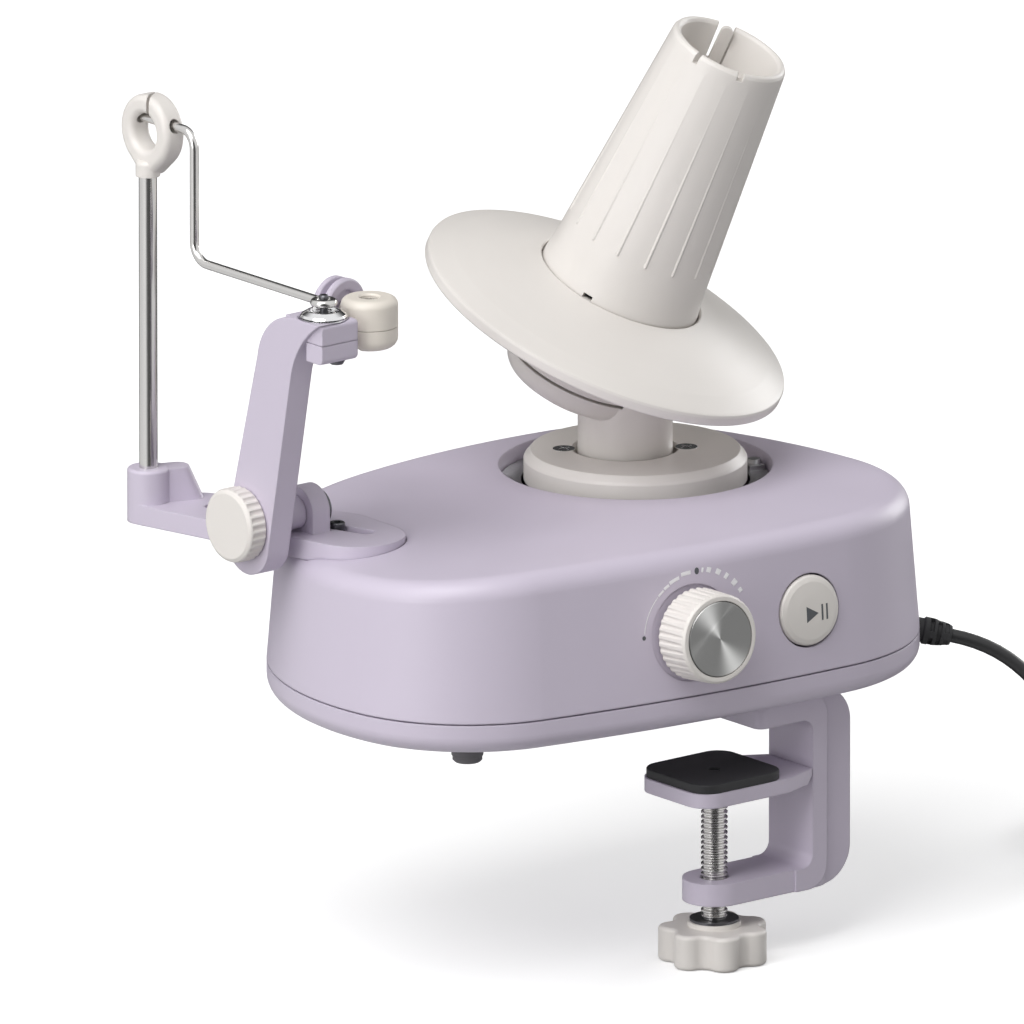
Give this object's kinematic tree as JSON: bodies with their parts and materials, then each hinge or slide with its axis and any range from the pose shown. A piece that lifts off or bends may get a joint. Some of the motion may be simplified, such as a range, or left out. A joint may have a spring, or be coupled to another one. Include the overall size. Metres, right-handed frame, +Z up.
{
  "type": "electric yarn ball winder",
  "caption": "Electric yarn ball winder: tilted cone on a motor-driven turntable, front dial and button, table clamp, and a side yarn guide with arm, wire and ring.",
  "frame": {"origin": "centre of the lower face of the clamp's fixed upper jaw, in the plane of the table top", "axes": "+X along the housing towards the turntable end, +Y towards the back, away from the dial and button, +Z up"},
  "size_m": [0.5046, 0.2155, 0.3401],
  "materials": {
    "lavender": "satin moulded ABS",
    "warm_white": "satin moulded ABS",
    "cream": "matt acetal",
    "rubber": "matt black rubber",
    "cord_black": "smooth black PVC",
    "steel": "bright drawn steel",
    "dark_steel": "blackened steel",
    "chrome": "polished",
    "cap_metal": "turned, radial brushing",
    "zinc": "zinc plated steel",
    "nylon": "natural nylon",
    "bronze": "sintered bronze",
    "board": "circuit board laminate"
  },
  "bodies": {
    "housing": {"upper_housing": "lavender", "base_cover": "lavender", "rubber_feet": "rubber", "base_screws": "zinc", "turntable_seat": "zinc", "seat_screws": "zinc", "centre_post": "steel", "sun_gear": "nylon", "motor": "zinc", "motor_bracket": "zinc", "control_board": "board", "speed_potentiometer": "zinc", "strain_relief": "rubber", "clamp_frame": "lavender", "clamp_frame_screws": "zinc", "clamp_nut": "steel", "bracket_screw": "dark_steel", "cord_run": "cord_black", "cord_coil": "cord_black", "cord_tie": "cord_black", "mains_plug": "cord_black"},
    "turntable": {"turntable_cover": "warm_white", "turntable_column": "warm_white", "cover_screws": "zinc", "drive_gear": "nylon", "sleeve_bushes": "bronze", "spindle_carrier": "warm_white"},
    "cone": {"yarn_disc": "warm_white", "disc_hub": "warm_white", "yarn_cone": "warm_white", "cone_core": "warm_white", "cone_shaft": "steel", "spindle_gear": "nylon"},
    "pinion": {"motor_pinion": "nylon"},
    "dial": {"speed_knob": "warm_white", "knob_cap": "cap_metal", "speed_shaft": "steel"},
    "button": {"play_button": "warm_white"},
    "pressure_plate": {"clamp_plate": "lavender", "clamp_pad": "rubber"},
    "screw": {"clamp_screw": "steel", "star_knob": "warm_white", "thrust_washer": "zinc"},
    "bracket": {"guide_bracket": "lavender", "guide_post": "steel", "eyelet_ring": "warm_white", "hinge_bolt": "steel", "hinge_nut": "steel"},
    "arm": {"guide_arm": "lavender", "arm_head_cap": "lavender", "cap_screw": "dark_steel", "roller_base": "cream", "tension_post": "dark_steel", "tension_disc_low": "chrome", "guide_axles": "steel"},
    "tension_lid": {"tension_disc_high": "chrome"},
    "hinge_knob": {"arm_knob": "warm_white"},
    "wire": {"guide_wire": "steel"},
    "wheel": {"grooved_wheel": "lavender"},
    "roller": {"guide_roller": "cream"}
  },
  "joints": [
    {"name": "turntable_spin", "type": "hinge", "parent": "housing", "child": "turntable", "pos_m": [0.012, 0.091, 0.08], "axis": [0, 0, 1], "continuous": true},
    {"name": "cone_spin", "type": "hinge", "parent": "turntable", "child": "cone", "pos_m": [0.012, 0.091, 0.1594], "axis": [0.2191, -0.3521, 0.91], "continuous": true},
    {"name": "motor_spin", "type": "hinge", "parent": "housing", "child": "pinion", "pos_m": [-0.03076, 0.0865, 0.06], "axis": [0, 0, 1], "continuous": true},
    {"name": "speed_dial_turn", "type": "hinge", "parent": "housing", "child": "dial", "pos_m": [-0.0505, -0.0204, 0.046], "axis": [0.0695, 0.9945, -0.0785], "range_deg": [0, 270]},
    {"name": "play_button_press", "type": "slide", "parent": "housing", "child": "button", "axis": [0.0695, 0.9945, -0.0785], "range_m": [0, 0.0015], "stiffness_N_per_m": 300, "springref_m": -0.001},
    {"name": "clamp_plate_slide", "type": "slide", "parent": "housing", "child": "pressure_plate", "axis": [0, 0, 1], "range_m": [-0.0315, 0.0065]},
    {"name": "clamp_screw_turn", "type": "hinge", "parent": "pressure_plate", "child": "screw", "pos_m": [-0.024, 0, -0.06], "axis": [0, 0, 1], "range_deg": [-5680, 1180]},
    {"name": "bracket_slide", "type": "slide", "parent": "housing", "child": "bracket", "axis": [-0.3184, 0.9479, 0], "range_m": [0, 0.012]},
    {"name": "arm_tilt", "type": "hinge", "parent": "bracket", "child": "arm", "pos_m": [-0.165, 0.095, 0.085], "axis": [1, 0, 0], "range_deg": [-4, 4]},
    {"name": "wire_swing", "type": "hinge", "parent": "arm", "child": "wire", "pos_m": [-0.1623, 0.0604, 0.1755], "axis": [1, 0, 0], "range_deg": [-2.7, 2.7]},
    {"name": "hinge_knob_turn", "type": "hinge", "parent": "bracket", "child": "hinge_knob", "pos_m": [-0.178, 0.095, 0.085], "axis": [-1, 0, 0], "range_deg": [0, 360]},
    {"name": "tension_lid_lift", "type": "slide", "parent": "arm", "child": "tension_lid", "axis": [0, 0, 1], "range_m": [0, 0.0008]},
    {"name": "wheel_spin", "type": "hinge", "parent": "arm", "child": "wheel", "pos_m": [-0.1381, 0.0819, 0.165], "axis": [0.1736, -0.9848, 0], "continuous": true},
    {"name": "roller_spin", "type": "hinge", "parent": "arm", "child": "roller", "pos_m": [-0.1403, 0.0607, 0.168], "axis": [0, 0, 1], "continuous": true}
  ],
  "couplings": [
    {"joint": "cone_spin", "follows": "turntable_spin", "ratio": 0.625},
    {"joint": "motor_spin", "follows": "turntable_spin", "ratio": -5.1429},
    {"joint": "clamp_screw_turn", "follows": "clamp_plate_slide", "rad_per_m": 3141.6},
    {"joint": "wire_swing", "follows": "arm_tilt", "ratio": -0.6604}
  ]
}
